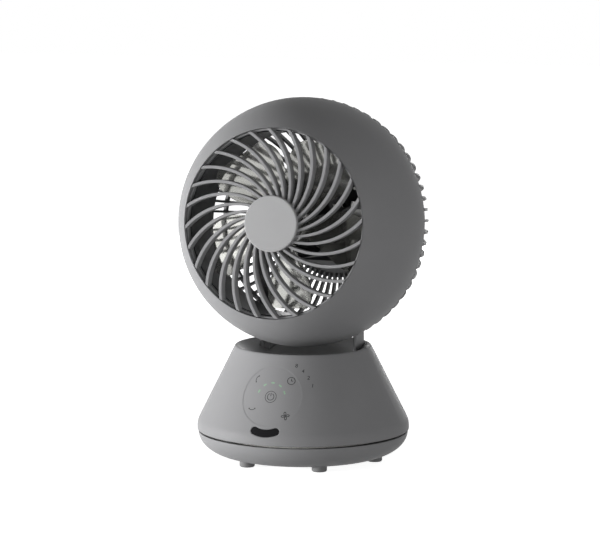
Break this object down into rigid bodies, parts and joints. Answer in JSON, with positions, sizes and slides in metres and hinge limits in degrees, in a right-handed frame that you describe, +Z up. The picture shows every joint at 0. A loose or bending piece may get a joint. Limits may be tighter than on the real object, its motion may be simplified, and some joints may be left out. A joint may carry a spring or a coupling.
{
  "type": "table-top air circulator",
  "caption": "Table-top air circulator: ball-shaped head with spiral front grille and finned back, tilting on two arms above a cone pedestal that pans on a round foot.",
  "frame": {"origin": "on the table under the pan axis, at the middle of the foot", "axes": "+Z up along the pan axis, -Y towards the front grille, +X to the right seen from the front"},
  "size_m": [0.23, 0.1966, 0.3346],
  "materials": {
    "grey_shell": "fine satin moulding",
    "dark_plastic": "smooth moulding",
    "window_plastic": "polished dark",
    "clear_lens": "frosted",
    "impeller_plastic": "glossy",
    "foot_rubber": "matte",
    "bearing_plastic": "smooth",
    "steel": "plated",
    "motor_can": "pressed sheet",
    "ballast_iron": "raw",
    "board": "solder mask"
  },
  "bodies": {
    "base": {"base_tub": "grey_shell", "rubber_feet": "foot_rubber", "ballast_plate": "ballast_iron", "base_plate": "dark_plastic", "base_screws": "steel", "cord_gland": "dark_plastic", "pan_ring_gear": "bearing_plastic", "slide_ring": "bearing_plastic", "pan_nut": "steel"},
    "pedestal": {"cone_housing": "grey_shell", "pedestal_floor": "dark_plastic", "floor_screws": "steel", "pan_bush": "bearing_plastic", "pan_motor": "motor_can", "control_board": "board", "light_lenses": "clear_lens", "ir_window": "window_plastic", "ir_receiver": "board", "power_board": "board", "left_arm": "grey_shell", "right_arm": "grey_shell", "arm_screws": "steel", "cable_cover": "grey_shell", "tilt_bushes": "bearing_plastic", "tilt_motor": "motor_can"},
    "pan_drive": {"pan_pinion": "bearing_plastic"},
    "head": {"front_shell": "grey_shell", "front_grille": "grey_shell", "hub_cap": "grey_shell", "duct_ring": "dark_plastic", "rear_grille": "grey_shell", "rear_screws": "steel", "tilt_bracket": "dark_plastic", "tilt_shaft": "steel", "motor_front_case": "dark_plastic", "motor_rear_case": "dark_plastic", "stator_core": "steel", "motor_bearings": "steel", "motor_screws": "steel"},
    "rotor": {"motor_shaft": "steel", "motor_rotor": "steel", "impeller": "impeller_plastic", "impeller_nut": "impeller_plastic"}
  },
  "joints": [
    {"name": "pan", "type": "hinge", "parent": "base", "child": "pedestal", "pos_m": [0, 0, 0.03], "axis": [0, 0, 1], "range_deg": [-40, 40]},
    {"name": "pan_pinion_turn", "type": "hinge", "parent": "pedestal", "child": "pan_drive", "pos_m": [0, -0.039, 0.027], "axis": [0, 0, 1], "range_deg": [-121, 121]},
    {"name": "tilt", "type": "hinge", "parent": "pedestal", "child": "head", "pos_m": [0, 0, 0.21964], "axis": [-1, 0, 0], "range_deg": [-5, 40]},
    {"name": "fan_spin", "type": "hinge", "parent": "head", "child": "rotor", "pos_m": [0, 0, 0.21964], "axis": [0, -0.9962, 0.0872], "continuous": true}
  ],
  "couplings": [
    {"joint": "pan_pinion_turn", "follows": "pan", "ratio": 3}
  ]
}
